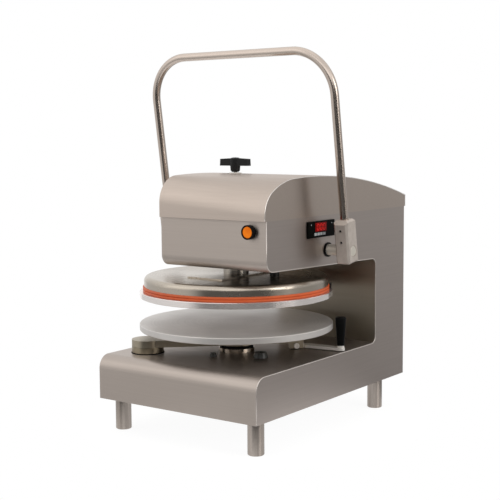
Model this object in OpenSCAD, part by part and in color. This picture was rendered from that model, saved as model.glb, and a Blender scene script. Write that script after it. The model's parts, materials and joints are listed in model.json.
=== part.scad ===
// Manual heated pizza dough press with a swing-out lower platen.
// Millimetres, +Z up, front of the press towards -Y, controls on the +X side.
// Lengths along X and Y are measured from the platen axis, and place() moves
// the whole press so that the origin lies under the middle of its outline.

/* [Base] */
// Width of the base box
base_w = 450; // [400:1:520]
// Depth of the base box
base_d = 644; // [620:1:700]
// Height of the base box
base_h = 101; // [80:1:140]
// Distance from the platen axis to the front of the base
front_reach = 234; // [230:1:260]
// Outside bend radius along the front top edge of the base
front_bend = 30; // [10:1:45]
// Thickness of the stainless sheet
sheet = 2; // [1.5:0.1:3]
// Height of the legs
leg_h = 76; // [40:1:120]
// Diameter of the legs
leg_d = 37; // [25:1:45]
// Distance from the base sides to the leg axes
leg_inset_x = 33; // [30:1:60]
// Distance from the base front to the front leg axes
leg_inset_front = 44; // [30:1:80]
// Distance from the base rear to the rear leg axes
leg_inset_rear = 87; // [40:1:120]

/* [Column and head] */
// Width of the column and the head
head_w = 288; // [270:1:320]
// Distance from the platen axis to the left side of the head
head_left_reach = 63; // [60:1:75]
// Height of the throat between base and head
throat_h = 207; // [200:1:230]
// Height of the head walls up to the hood seam
head_h = 120; // [110:1:140]
// Distance from the platen axis to the front of the head
head_reach = 194; // [150:1:215]
// Rise of the underside of the head towards its front
head_rake = 11; // [0:0.5:12]
// Free room between the lower platen and the column
platen_room = 37.5; // [20:0.5:60]
// Depth of the column
column_d = 144; // [120:1:160]
// Radius in the inner corners of the side panels
throat_r = 16; // [6:1:30]
// Outside bend radius under the front of the head
head_bend = 25; // [10:1:35]

/* [Hood] */
// Height of the arched hood above its seam
hood_rise = 89.5; // [80:0.5:105]
// Overhang of the hood lip at the front and the rear
hood_overhang = 6; // [3:0.5:12]
// Radius of the hood nose
nose_r = 60; // [45:1:70]
// Radius of the brow between nose and arch at the right end
brow_r = 190; // [120:1:240]
// Radius of the brow between nose and arch at the left end
brow_left_r = 62; // [62:1:240]
// Radius of the long arch at the right end
arch_r = 1500; // [1300:10:2000]
// Radius of the long arch at the left end
arch_left_r = 1700; // [1300:10:2000]
// Extra height of the hood at its left end
hood_lift = 4; // [0:0.5:6]

/* [Lever] */
// Distance from the platen axis back to the lever shaft
shaft_y = 48; // [47.5:0.5:52]
// Height of the lever shaft above the underside of the head
shaft_rise = 41; // [40.5:0.5:46]
// Diameter of the lever shaft
shaft_d = 25; // [22:1:28]
// Width of the handle between its arm centre lines
handle_w = 510; // [506:1:550]
// Gap between the right side panel and the lever block beside it
block_gap = 32.5; // [20:0.5:45]
// Height of the handle bar above the shaft
handle_h = 449; // [350:1:520]
// Diameter of the handle tube
tube_d = 19; // [16:0.5:22]
// Wall of the handle tube
tube_wall = 1.5; // [1:0.1:3]
// Centre line radius of the handle bends
handle_bend = 101; // [40:1:120]
// Forward lean of the handle at rest
handle_lean = 8.6; // [0:0.1:12]
// Width of the lever blocks
block_x = 35; // [28:1:38]
// Depth of the lever blocks
block_y = 43; // [40:1:60]
// Height of the lever blocks above the shaft
block_up = 72; // [60:1:90]
// Depth of the lever blocks below the shaft
block_down = 27; // [23:1:30]
// Chamfer round the top of the lever blocks
block_chamfer = 9; // [3:0.5:10]
// Chamfer along the upright edges of the lever blocks
block_edge = 4.5; // [1:0.5:6]

/* [Rack drive] */
// Number of teeth on the pinion
pinion_teeth = 24; // [22:1:24]
// Tooth module of rack and pinion
tooth_module = 2.5; // [2:0.1:2.5]
// Face width of rack and pinion
rack_w = 28; // [18:1:30]
// Toothed length of the rack
rack_len = 108; // [100:1:112]
// Diameter of the ram
ram_d = 60; // [56:1:62]

/* [Platens] */
// Diameter of the lower platen
lower_d = 457; // [440:1:460]
// Thickness of the lower platen
lower_t = 15; // [10:0.5:20]
// Height of the lower platen face above the base top
lower_rise = 69.5; // [66:0.5:75]
// Diameter of the heated upper platen
upper_d = 455; // [440:1:456]
// Thickness of the upper platen
upper_t = 14; // [10:0.5:16]
// Open gap between the platens
platen_gap = 62.5; // [60:0.5:66]
// Bare rim of the upper platen outside the seal ring
seal_step = 7.5; // [4.5:0.5:12.5]
// Height of the seal ring
seal_h = 12; // [6:0.5:14]
// Bare rim of the seal ring outside the cover
cover_step = 3; // [1:0.5:10]
// Height of the cover over the heater
cover_h = 24; // [18:0.5:28]
// Rounding along the top edge of the cover
cover_round = 12; // [3:0.5:14]
// Width of the plate under the ram
ram_plate_w = 100; // [80:1:120]
// Length of the plate under the ram from front to rear
ram_plate_l = 240; // [200:1:260]
// Thickness of the plate under the ram
ram_plate_t = 3; // [2:0.5:6]

/* [Swing arm] */
// Position of the swing pivot left of the platen axis
pivot_x = 157; // [150:1:165]
// Position of the swing pivot in front of the platen axis
pivot_y = 140; // [130:1:150]
// Diameter of the round pivot post
pivot_d = 75; // [60:1:84]
// Height of the pivot post under the arm
pivot_h = 15.5; // [14:0.5:17]
// Thickness of the swing arm
arm_t = 16; // [12:0.5:18]
// Distance from the rim of the lower platen out to the grip
grip_clear = 18; // [16:0.5:30]
// Length of the black grip
grip_len = 68; // [45:1:70]
// Diameter of the grip at its top
grip_d = 26; // [20:1:30]

/* [Controls] */
// Width of the controller bezel
bezel_w = 109; // [100:1:120]
// Height of the controller bezel
bezel_h = 37; // [34:1:40]
// Thickness of the controller bezel
bezel_t = 3.5; // [3:0.5:8]
// Bezel centre behind the platen axis
bezel_y = 16.5; // [5:0.5:24]
// Height of the bezel centre above the underside of the head
bezel_rise = 90.5; // [86:0.5:96]
// Diameter of the power button barrel
button_d = 31; // [28:1:36]
// Length of the power button barrel
button_len = 11; // [11:0.5:26]
// Distance from the right side of the head to the button axis
button_inset = 42; // [30:1:60]
// Height of the button axis above the underside of the head
button_rise = 96.5; // [60:0.5:98]
// Length of the thickness knob across its bar
knob_w = 80; // [60:1:100]
// Height of the thickness knob
knob_h = 34; // [28:1:40]
// Bare stud between hood and knob
knob_gap = 6; // [5:0.5:12]
// Diameter of the thickness screw
screw_d = 8; // [6:0.5:8]

/* [Fits] */
// Radial clearance of running and sliding fits
run_fit = 0.05; // [0.02:0.01:0.09]
// Radial clearance of assembled fits inside one body
seat_fit = 0.02; // [0.01:0.01:0.05]
// Free gap between pieces that move past each other
move_gap = 0.5; // [0.4:0.1:1]

/* [Hidden] */
$fn = 96;

// Outer limits of the housing
y_front = -front_reach;
y_rear = base_d - front_reach;
y_head = -head_reach;
y_column = max(lower_d, upper_d) / 2 + platen_room;
y_col_rear = y_column + column_d;
y_rake = y_column - throat_r;
x_right = head_w - head_left_reach;
x_left = x_right - base_w;
head_left = -head_left_reach;
z_top = leg_h + base_h;
z_head = z_top + throat_h;
z_seam = z_head + head_h;
hood_top = z_seam + hood_rise;
hood_front = head_reach + hood_overhang;
hood_rear = y_col_rear + hood_overhang;
arm_right = x_right + block_gap + block_x / 2;
arm_left = arm_right - handle_w;
axis_x = -(max(x_right, arm_right + block_x / 2) + min(x_left, arm_left - block_x / 2)) / 2;
axis_y = -(max(y_rear, hood_rear) + y_front) / 2;

// Where the tangent arcs of the hood profile meet, as angles from the top
nose_end = 30;
brow_end = 3;

// Inner frame of the press
frame_t = 8;
frame_in = 37;
frame_head_front = 50;
frame_head_h = 112;
frame_column_y = y_column + 14;
frame_rear_gap = 10;
frame_foot_front = 60;
bridge_t = 8;
z_bridge = hood_top - 46;
bearing_wall = 5;
bearing_flange = 5;
bearing_flange_t = 4;
guide_wall = 15;
guide_h = 84;
bridge_d = 50;

// Lever and rack drive
z_shaft = z_head + shaft_rise;
shaft_r = shaft_d / 2;
shaft_len = handle_w + block_x;
pitch_r = tooth_module * pinion_teeth / 2;
pressure_angle = 20;
backlash = 0.1;
rack_line = shaft_y - pitch_r;
rack_root = rack_line - 1.25 * tooth_module;
rack_tip = rack_line + tooth_module;
rack_back = 5;
rack_seat = rack_root - rack_back;
rack_z = z_shaft - 25;
rack_run = 9;
bush_wall = 2;
bush_lap = 2;
bush_flange = 2.5;
tube_socket = 3;
screw_hole_d = 6.4;
set_screw_z = [23, 49];
spring_wire = 4;
spring_turns = 9;
spring_pitch = 5.4;
spring_clear = 2;
spring_steps = 12;

// Diameters that follow the upper platen
seal_d = upper_d - 2 * seal_step;
cover_d = seal_d - 2 * cover_step;
heater_inset = 86.45;

// Heights of the platens, the ram and the adjuster
z_lower = z_top + lower_rise;
z_upper = z_lower + platen_gap;
z_seal = z_upper + upper_t;
z_cover = z_seal + seal_h;
z_ram_plate = z_cover + cover_h;
z_ram = z_ram_plate + ram_plate_t;
ram_top = z_bridge - 14;
ram_cap_t = 8;
ram_bore = 8;
ram_bore_rise = 46;
nut_rise = 63;
ram_hole = 38;
z_nut = z_head + nut_rise;
nut_h = 12;
conduit_pos = [100, 15];
conduit_d = 22;
conduit_hole = 28;
conduit_rise = 68;

// Swing arm: the arm runs straight from the pivot under the platen axis, and the tail bar turns to the grip
arm_angle = atan2(pivot_y, pivot_x);
pivot_reach = norm([pivot_x, pivot_y]);
z_arm = z_top + pivot_h + move_gap;
pad_h = 8;
pad_d = 84;
pin_d = 24;
hub_flange_d = 84;
hub_boss_d = 56;
hub_shank_d = 36;
hub_flange_t = 7;
tail_lug = [125, 158];
tail_w = 26;
tail_t = 6.5;
tail_clear = 2.5;
tongue_w = 12;
tongue_h = 12.5;
tongue_end = 2;
lug_wall = 9;
tail_taper = 3;
tail_step = 1;
bolt_rise = 6.5;
z_tail = z_top + tail_clear;
ferrule_h = 5;
ferrule_d = 17;
bolt_d = 7;
grip_turn = -12;
grip_reach = lower_d / 2 + grip_clear;
grip_pos = grip_reach * [cos(grip_turn), sin(grip_turn)];
bumper_pos = [100, -42];
bumper_d = [34, 28];
bumper_h = 12;
stud_pos = [4, -96];
stud_d = [17, 13];
stud_h = 9;
gland_inset = 75;
gland_d = [20, 28, 10];

// Controls
z_bezel = z_head + bezel_rise;
z_button = z_head + button_rise;
key_size = [9, 6];
key_z = -10.5;
key_y = [-26, -14, -2.5, 10];
key_proud = 1;
window_size = [47, 20];
window_pos = [-3, 5];
window_depth = 2;
bezel_lap = [5, 3];
controller_d = 65;
button_x = x_right - button_inset;
cap_h = 5;

// Moves a piece modelled round the platen axis into the press frame
module place() {
    translate([axis_x, axis_y, 0]) children();
}

// Extrudes an outline in the Y-Z plane along X from x0
module along_x(x0, w) {
    translate([x0, 0, 0]) rotate([90, 0, 90]) linear_extrude(w) children();
}

// Cylinder along X that starts at x0
module rod_x(x0, w, r, y, z) {
    translate([x0, y, z]) rotate([0, 90, 0]) cylinder(r = r, h = w);
}

// Rectangle between two corners
module box2(a, b) {
    translate(a) square(b - a);
}

// Filled outline of a square inner corner of radius r, towards +Y and up or down
module throat_fillet(y, z, r, up) {
    difference() {
        translate([y - r, up ? z : z - r]) square(r);
        translate([y - r, up ? z + r : z - r]) circle(r);
    }
}

// Side of the base box with the bent front top edge, inset by d
module base_outline(d) {
    r = front_bend - d;
    box2([y_front + d, leg_h], [y_rear - d, z_top - front_bend]);
    box2([y_front + front_bend, leg_h], [y_rear - d, z_top - d]);
    translate([y_front + front_bend, z_top - front_bend]) circle(r);
}

// Height of the raked underside of the head at y
function z_under(y) = z_head + head_rake * max(0, y_rake - y) / (y_rake - y_head);

// Side of the head below the seam with the raked underside and the bent front edge, inset by d
module head_outline(d, top) {
    r = head_bend - d;
    tilt = atan(head_rake / (y_rake - y_head));
    c = [y_head + head_bend, z_under(y_head + head_bend) + head_bend / cos(tilt)];
    translate(c) circle(r);
    polygon([[y_head + d, top], [y_head + d, c[1]], c, c - r * [sin(tilt), cos(tilt)],
             [y_rake, z_head + d], [y_col_rear - d, z_head + d], [y_col_rear - d, top]]);
}

// Side of column and head in one sheet
module gooseneck_outline() {
    head_outline(0, z_seam);
    box2([y_column, z_top], [y_col_rear, z_seam]);
    throat_fillet(y_column, z_head, throat_r, false);
}

// Points on an arc of radius r about c from angle a0 to a1
function arc(c, r, a0, a1, n) = [for (i = [0 : n]) let (a = a0 + (a1 - a0) * i / n) c + r * [cos(a), sin(a)]];

// Hood profile above the seam, inset by d, with its highest point at top
function hood_points(d, brow, arch, top) =
    let (nose_c = [-hood_front + nose_r,
                   top - arch - (nose_r - brow) * cos(nose_end) - (brow - arch) * cos(brow_end)],
         brow_c = nose_c + (brow - nose_r) * [sin(nose_end), -cos(nose_end)],
         arch_c = brow_c + (arch - brow) * [sin(brow_end), -cos(brow_end)],
         low = z_seam - (d > 0 ? 1 : 0),
         rear = acos((hood_rear - d - arch_c[0]) / (arch - d)))
    concat([[-hood_front + d, low]],
           arc(nose_c, nose_r - d, 180, 90 + nose_end, 20),
           arc(brow_c, brow - d, 90 + nose_end, 90 + brow_end, 16),
           arc(arch_c, arch - d, 90 + brow_end, rear, 40),
           [[hood_rear - d, low]]);

// Body between the two end profiles of the hood, inset by d on every side but the bottom
module hood_body(d) {
    end = 0.5;
    hull() {
        along_x(head_left + d, end) polygon(hood_points(d, brow_left_r, arch_left_r, hood_top + hood_lift));
        along_x(x_right - d - end, end) polygon(hood_points(d, brow_r, arch_r, hood_top));
    }
}

// Half width of a pinion tooth, as an angle, at radius rho
function inv(a) = tan(a) * 180 / PI - a;
function flank(rho) =
    90 / pinion_teeth - backlash / pitch_r * 180 / PI
    + inv(pressure_angle) - inv(acos(min(1, pitch_r * cos(pressure_angle) / rho)));
function polar(rho, a) = rho * [cos(a), sin(a)];

// Point and ring of the coil of the return spring
function coil_point(t) =
    let (r = shaft_r + spring_clear + spring_wire / 2)
    [spring_pitch * t, r * cos(360 * t), r * sin(360 * t)];
function coil_ring(t, sides) = [
    for (k = [0 : sides - 1])
        let (a = 360 * k / sides, w = spring_wire / 2, p = coil_point(t))
        [p[0] + w * sin(a), p[1] + w * cos(a) * cos(360 * t), p[2] + w * cos(a) * sin(360 * t)]
];

// Round leg with a small chamfer at the foot
module leg(x, y) {
    foot = 1.5;
    color("silver") place() translate([x, y, 0]) rotate_extrude()
        polygon([[0, 0], [leg_d / 2 - foot, 0], [leg_d / 2, foot], [leg_d / 2, leg_h], [0, leg_h]]);
}

// Front and top of the base in one bent sheet
module base_cover() {
    color("silver") place() difference() {
        along_x(x_left + sheet, base_w - 2 * sheet) difference() {
            intersection() {
                base_outline(0);
                box2([y_front, leg_h], [y_rear - sheet, z_top]);
            }
            intersection() {
                base_outline(sheet);
                box2([y_front, leg_h], [y_rear, z_top]);
            }
            box2([y_rear - sheet, leg_h], [y_rear, z_top]);
        }
        // opening under the column, out to the rear
        translate([head_left + sheet, y_column + sheet, z_top - 2 * sheet])
            cube([head_w - 2 * sheet, max(y_rear, y_col_rear) - y_column - sheet, 4 * sheet]);
        // seat of the pivot pin
        translate([-pivot_x, -pivot_y, z_top - 2 * sheet]) cylinder(d = pin_d + 2 * seat_fit, h = 4 * sheet);
    }
}

// Left side of the base
module base_side_left() {
    color("silver") place() along_x(x_left, sheet) base_outline(0);
}

// Right side of base, column and head in one C-shaped sheet
module side_panel_right() {
    color("gainsboro") place() difference() {
        along_x(x_right - sheet, sheet) union() {
            base_outline(0);
            gooseneck_outline();
            throat_fillet(y_column, z_top, throat_r, true);
        }
        rod_x(x_right - 2 * sheet, 4 * sheet, shaft_r + bush_wall + seat_fit, shaft_y, z_shaft);
        translate([x_right - 2 * sheet, bezel_y - bezel_w / 2 + bezel_lap[0],
                   z_bezel - bezel_h / 2 + bezel_lap[1]])
            cube([4 * sheet, bezel_w - 2 * bezel_lap[0], bezel_h - 2 * bezel_lap[1]]);
    }
}

// Left side of column and head
module head_side_left() {
    color("silver") place() difference() {
        along_x(head_left, sheet) gooseneck_outline();
        rod_x(head_left - sheet, 3 * sheet, shaft_r + bush_wall + seat_fit, shaft_y, z_shaft);
    }
}

// Front and underside of the head in one bent sheet
module head_pan() {
    lap = 8;
    color("gainsboro") place() difference() {
        along_x(head_left + sheet, head_w - 2 * sheet) difference() {
            intersection() {
                head_outline(0, z_seam + lap);
                box2([y_head, z_head], [y_column + sheet, z_seam + lap]);
            }
            intersection() {
                head_outline(sheet, z_seam + 2 * lap);
                box2([y_head, z_head], [y_col_rear, z_seam + 2 * lap]);
            }
        }
        translate([0, 0, z_head - sheet]) cylinder(r = ram_hole, h = head_rake + 4 * sheet);
        translate([conduit_pos[0], conduit_pos[1], z_head - sheet])
            cylinder(d = conduit_hole, h = head_rake + 4 * sheet);
        translate([button_x, y_head - sheet, z_button]) rotate([-90, 0, 0])
            cylinder(d = button_d - 9 + 2 * seat_fit, h = 3 * sheet);
    }
}

// Front of the column
module column_front() {
    color("silver") place() translate([head_left + sheet, y_column, z_top])
        cube([head_w - 2 * sheet, sheet, throat_h]);
}

// Rear of base and column
module rear_panel() {
    color("silver") place() difference() {
        union() {
            translate([x_left + sheet, y_rear - sheet, leg_h]) cube([base_w - 2 * sheet, sheet, base_h]);
            translate([head_left + sheet, y_col_rear - sheet, z_top - sheet])
                cube([head_w - 2 * sheet, sheet, z_seam - z_top + sheet]);
            // shelf between base and column where their depths differ
            translate([head_left + sheet, min(y_rear, y_col_rear) - sheet, z_top - sheet])
                cube([head_w - 2 * sheet, abs(y_rear - y_col_rear) + sheet, sheet]);
        }
        gland_place() translate([0, 0, -2 * sheet]) cylinder(d = gland_d[0] + 2 * seat_fit, h = 4 * sheet);
    }
}

// Plate under the base that carries the legs and the inner frame
module bottom_plate() {
    color("dimgray") place() translate([x_left + sheet, y_front + sheet, leg_h])
        cube([base_w - 2 * sheet, base_d - 2 * sheet, sheet]);
}

// Arched hood over head and column
module hood() {
    color("lightgray") place() difference() {
        hood_body(0);
        hood_body(sheet);
        translate([0, 0, hood_top - hood_rise / 2]) cylinder(d = screw_d + 4, h = hood_rise);
    }
}

module leg_front_left() { leg(x_left + leg_inset_x, y_front + leg_inset_front); }
module leg_front_right() { leg(x_right - leg_inset_x, y_front + leg_inset_front); }
module leg_rear_left() { leg(x_left + leg_inset_x, y_rear - leg_inset_rear); }
module leg_rear_right() { leg(x_right - leg_inset_x, y_rear - leg_inset_rear); }

// C-shaped plate of the inner frame that takes the pressing force
module frame_plate(x0) {
    z_foot = leg_h + sheet;
    z_jaw = z_under(-frame_head_front) + sheet;
    back = y_col_rear - frame_rear_gap;
    foot_back = min(y_rear, y_col_rear) - frame_rear_gap;
    color("slategray") place() difference() {
        along_x(x0, frame_t) union() {
            box2([-frame_foot_front, z_foot], [foot_back, z_top - sheet]);
            box2([frame_column_y, z_foot], [foot_back, z_head + frame_head_h]);
            box2([frame_column_y, z_top], [back, z_head + frame_head_h]);
            box2([-frame_head_front, z_jaw], [back, z_head + frame_head_h]);
            box2([-frame_head_front, z_jaw], [frame_head_front, z_bridge]);
        }
        rod_x(x0 - 1, frame_t + 2, shaft_r + bearing_wall + seat_fit, shaft_y, z_shaft);
    }
}

module frame_plate_left() { frame_plate(-frame_in - frame_t); }
module frame_plate_right() { frame_plate(frame_in); }

// Guide of the ram, open at the back for the rack
module ram_guide() {
    guide_front = ram_d / 2 + guide_wall;
    z_guide = z_under(-guide_front) + sheet;
    color("darkgray") place() difference() {
        translate([-frame_in, -guide_front, z_guide])
            cube([2 * frame_in, guide_front + rack_seat - move_gap, guide_h]);
        translate([0, 0, z_guide - 1]) cylinder(d = ram_d + 2 * run_fit, h = guide_h + 2);
    }
}

// Flanged bearing of the lever shaft in a frame plate
module shaft_bearing(side) {
    color("goldenrod") place() mirror([side < 0 ? 1 : 0, 0, 0]) difference() {
        union() {
            rod_x(frame_in, frame_t, shaft_r + bearing_wall, shaft_y, z_shaft);
            rod_x(frame_in + frame_t, bearing_flange_t, shaft_r + bearing_wall + bearing_flange, shaft_y, z_shaft);
        }
        rod_x(frame_in - 1, frame_t + bearing_flange_t + 2, shaft_r + run_fit, shaft_y, z_shaft);
    }
}

module shaft_bearing_left() { shaft_bearing(-1); }
module shaft_bearing_right() { shaft_bearing(1); }

// Flanged bush of the lever shaft in a side panel, with its outer face at x
module panel_bush(x, side) {
    color("black") place() translate([x, 0, 0]) mirror([side < 0 ? 1 : 0, 0, 0]) difference() {
        union() {
            rod_x(-2 * sheet, 2 * sheet, shaft_r + bush_wall, shaft_y, z_shaft);
            rod_x(0, bush_flange, shaft_r + bush_wall + bush_lap, shaft_y, z_shaft);
        }
        rod_x(-3 * sheet, 3 * sheet + 2 * bush_flange, shaft_r + run_fit, shaft_y, z_shaft);
    }
}

module panel_bush_left() { panel_bush(head_left, -1); }
module panel_bush_right() { panel_bush(x_right, 1); }

// Torsion spring round the lever shaft that lifts the heated platen
module return_spring() {
    sides = 6;
    rings = spring_steps * spring_turns;
    points = [for (i = [0 : rings]) for (v = coil_ring(i / spring_steps, sides)) v];
    walls = [
        for (i = [0 : rings - 1]) for (k = [0 : sides - 1])
            let (a = sides * i + k, b = sides * i + (k + 1) % sides)
            for (tri = [[a, b, a + sides], [b, b + sides, a + sides]]) tri
    ];
    first = [for (k = [1 : sides - 2]) [0, k + 1, k]];
    end = sides * rings;
    last = [for (k = [1 : sides - 2]) [end, end + k, end + k + 1]];
    echo(spring_gap = spring_pitch - spring_wire);
    color("gray") place()
        translate([frame_in + frame_t + bearing_flange_t + spring_wire / 2 + 0.3, shaft_y, z_shaft])
            polyhedron(points, concat(first, walls, last), convexity = 10);
}

// Bridge across the frame plates that carries the thickness screw
module adjuster_bridge() {
    w = frame_in + frame_t;
    color("slategray") place() difference() {
        translate([-w, -bridge_d / 2, z_bridge]) cube([2 * w, bridge_d, bridge_t]);
        translate([0, 0, z_bridge - 1]) cylinder(d = screw_d + 2 * run_fit, h = bridge_t + 2);
    }
}

// Round pad on the base that takes the load of the hub
module support_pad() {
    color("black") place() translate([0, 0, z_top]) cylinder(d = pad_d, h = pad_h);
}

// Low rubber bumpers on the base, a large one and a small one
module rest_bumper() {
    color("black") place() {
        translate([bumper_pos[0], bumper_pos[1], z_top]) difference() {
            cylinder(d1 = bumper_d[0], d2 = bumper_d[1], h = bumper_h);
            translate([0, 0, bumper_h / 2]) cylinder(d = bumper_h, h = bumper_h);
        }
        translate([stud_pos[0], stud_pos[1], z_top]) cylinder(d1 = stud_d[0], d2 = stud_d[1], h = stud_h);
    }
}

// Post and pin that the swing arm turns on
module pivot_post() {
    color("silver") place() translate([-pivot_x, -pivot_y, 0]) {
        translate([0, 0, z_top]) cylinder(d = pivot_d, h = pivot_h);
        translate([0, 0, z_top - 12]) cylinder(d = pin_d, h = 12 + pivot_h + move_gap + arm_t - 6);
    }
}

// Places the cord gland on the rear of the base
module gland_place() {
    translate([x_right - gland_inset, y_rear, leg_h + base_h / 3]) rotate([-90, 0, 0]) children();
}

// Gland where the supply cord enters
module cord_gland() {
    color("black") place() gland_place() difference() {
        union() {
            translate([0, 0, -8]) cylinder(d = gland_d[0], h = 8);
            cylinder(d = gland_d[1], h = hood_overhang - 1);
        }
        translate([0, 0, -9]) cylinder(d = gland_d[2], h = 20);
    }
}

// Controller case behind the bezel
module controller_body() {
    margin = 0.5;
    color("dimgray") place()
        translate([x_right - controller_d, bezel_y - bezel_w / 2 + bezel_lap[0] + margin,
                   z_bezel - bezel_h / 2 + bezel_lap[1] + margin])
            cube([controller_d, bezel_w - 2 * bezel_lap[0] - 2 * margin,
                  bezel_h - 2 * bezel_lap[1] - 2 * margin]);
}

// Place of a key on the bezel face
module key_place(i) {
    translate([x_right, bezel_y + key_y[i], z_bezel + key_z]) children();
}

// Black bezel of the controller
module controller_bezel() {
    depth = window_depth;
    gap = move_gap / 2;
    color("black") place() difference() {
        translate([x_right, bezel_y - bezel_w / 2, z_bezel - bezel_h / 2]) cube([bezel_t, bezel_w, bezel_h]);
        translate([x_right + bezel_t - depth, bezel_y + window_pos[0] - window_size[0] / 2,
                   z_bezel + window_pos[1] - window_size[1] / 2])
            cube([2 * depth, window_size[0], window_size[1]]);
        for (i = [0 : len(key_y) - 1]) key_place(i)
            translate([-1, -key_size[0] / 2 - gap, -key_size[1] / 2 - gap])
                cube([bezel_t + 2, key_size[0] + 2 * gap, key_size[1] + 2 * gap]);
    }
}

// Red window over the digits
module display_window() {
    margin = 0.1;
    color("red") place()
        translate([x_right + bezel_t - window_depth, bezel_y + window_pos[0] - window_size[0] / 2 + margin,
                   z_bezel + window_pos[1] - window_size[1] / 2 + margin])
            cube([window_depth + 0.3, window_size[0] - 2 * margin, window_size[1] - 2 * margin]);
}

// One key of the controller, proud of the bezel
module key(i) {
    color("gray") place() key_place(i) translate([0.9, -key_size[0] / 2, -key_size[1] / 2])
        cube([bezel_t + key_proud - 0.9, key_size[0], key_size[1]]);
}

module key_set() { key(0); }
module key_down() { key(1); }
module key_up() { key(2); }
module key_start() { key(3); }

// Places the power button on the front of the head
module button_place() {
    translate([button_x, y_head, z_button]) rotate([90, 0, 0]) children();
}

// Barrel of the lit power button
module power_barrel() {
    color("black") place() button_place() difference() {
        union() {
            cylinder(d = button_d, h = button_len);
            translate([0, 0, -18]) cylinder(d = button_d - 9, h = 18);
        }
        translate([0, 0, button_len - cap_h - 5]) cylinder(d = button_d - 6, h = button_len);
    }
}

// Amber cap of the power button
module power_cap() {
    dome = 1.2;
    r = button_d / 2 - 3 - move_gap / 2;
    color("orange") place() button_place() translate([0, 0, button_len - cap_h - 1.5]) rotate_extrude()
        polygon([[0, 0], [r, 0], [r, cap_h], [r - dome, cap_h + dome], [0, cap_h + dome]]);
}

// Shaft across the head that carries both lever blocks and the pinion
module press_shaft() {
    edge = 1.5;
    color("silver") place() translate([arm_left - block_x / 2, shaft_y, z_shaft]) rotate([0, 90, 0])
        rotate_extrude() polygon([[0, 0], [shaft_r - edge, 0], [shaft_r, edge], [shaft_r, shaft_len - edge],
                                  [shaft_r - edge, shaft_len], [0, shaft_len]]);
}

// Pinion on the lever shaft, with a tooth space towards the rack
module pinion() {
    root = pitch_r - 1.25 * tooth_module;
    tip = pitch_r + tooth_module;
    steps = 5;
    start = pitch_r * cos(pressure_angle);
    radii = [for (i = [0 : steps]) start + (tip - start) * i / steps];
    tooth = concat(
        [polar(root, -flank(start))],
        [for (rho = radii) polar(rho, -flank(rho))],
        [for (i = [0 : steps]) let (rho = radii[steps - i]) polar(rho, flank(rho))],
        [polar(root, flank(start))]
    );
    color("gray") place() difference() {
        translate([0, shaft_y, z_shaft]) along_x(-rack_w / 2, rack_w)
            polygon([for (i = [0 : pinion_teeth - 1]) for (p = tooth)
                let (a = (i + 0.5 + pinion_teeth / 2) * 360 / pinion_teeth)
                [p[0] * cos(a) - p[1] * sin(a), p[0] * sin(a) + p[1] * cos(a)]]);
        rod_x(-rack_w, 2 * rack_w, shaft_r + seat_fit, shaft_y, z_shaft);
    }
}

// Leans a piece of the lever forward about the shaft
module lean() {
    translate([0, shaft_y, z_shaft]) rotate([handle_lean, 0, 0]) children();
}

// Block that clamps a handle arm to the shaft
module lever_block(x) {
    c = block_chamfer;
    b = 4;
    top = block_up;
    low = -block_down;
    color("gainsboro") place() lean() translate([x, 0, 0]) difference() {
        intersection() {
            along_x(-block_x / 2, block_x)
                polygon([[-block_y / 2, low + b], [-block_y / 2 + b, low], [block_y / 2 - b, low],
                         [block_y / 2, low + b], [block_y / 2, top - c], [block_y / 2 - c, top],
                         [-block_y / 2 + c, top], [-block_y / 2, top - c]]);
            rotate([90, 0, 0]) translate([0, 0, -block_y / 2]) linear_extrude(block_y)
                polygon([[-block_x / 2, low + b], [-block_x / 2 + b, low], [block_x / 2 - b, low],
                         [block_x / 2, low + b], [block_x / 2, top - c / 2], [block_x / 2 - c / 2, top],
                         [-block_x / 2 + c / 2, top], [-block_x / 2, top - c / 2]]);
            translate([0, 0, low]) linear_extrude(top - low)
                polygon([for (k = [0 : 3], j = [0, 1])
                    let (sx = [1, -1, -1, 1][k], sy = [1, 1, -1, -1][k], x_first = (k + j) % 2 == 0)
                    [sx * (block_x / 2 - (x_first ? 0 : block_edge)),
                     sy * (block_y / 2 - (x_first ? block_edge : 0))]]);
        }
        rod_x(-block_x, 2 * block_x, shaft_r + seat_fit, 0, 0);
        translate([0, 0, shaft_r + tube_socket]) cylinder(d = tube_d + 2 * seat_fit, h = block_up);
        for (z = set_screw_z)
            translate([0, 0, z]) rotate([90, 0, 0]) cylinder(d = screw_hole_d, h = block_y);
    }
}

module lever_block_left() { lever_block(arm_left); }
module lever_block_right() { lever_block(arm_right); }

// Centre part of the handle tube of diameter d: two arms, two bends and the bar
module handle_path(d) {
    low = shaft_r + tube_socket;
    up = handle_h - handle_bend;
    for (side = [0, 1]) mirror([side, 0, 0]) {
        translate([handle_w / 2, 0, low]) cylinder(d = d, h = up - low);
        translate([handle_w / 2 - handle_bend, 0, up]) rotate([90, 0, 0])
            rotate_extrude(angle = 90) translate([handle_bend, 0]) circle(d = d);
    }
    rod_x(-handle_w / 2 + handle_bend, handle_w - 2 * handle_bend, d / 2, 0, handle_h);
}

// U-shaped tube handle
module handle() {
    color("silver") place() lean() translate([(arm_left + arm_right) / 2, 0, 0]) difference() {
        handle_path(tube_d);
        handle_path(tube_d - 2 * tube_wall);
    }
}

// Set screws that hold the handle arms in the blocks
module set_screws() {
    inset = 3;
    len = (block_y - tube_d) / 2 - inset - 2 * seat_fit;
    color("black") place() lean() for (x = [arm_left, arm_right]) for (z = set_screw_z)
        translate([x, -block_y / 2 + inset, z]) rotate([-90, 0, 0])
            cylinder(d = screw_hole_d - 0.1, h = len);
}

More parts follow.
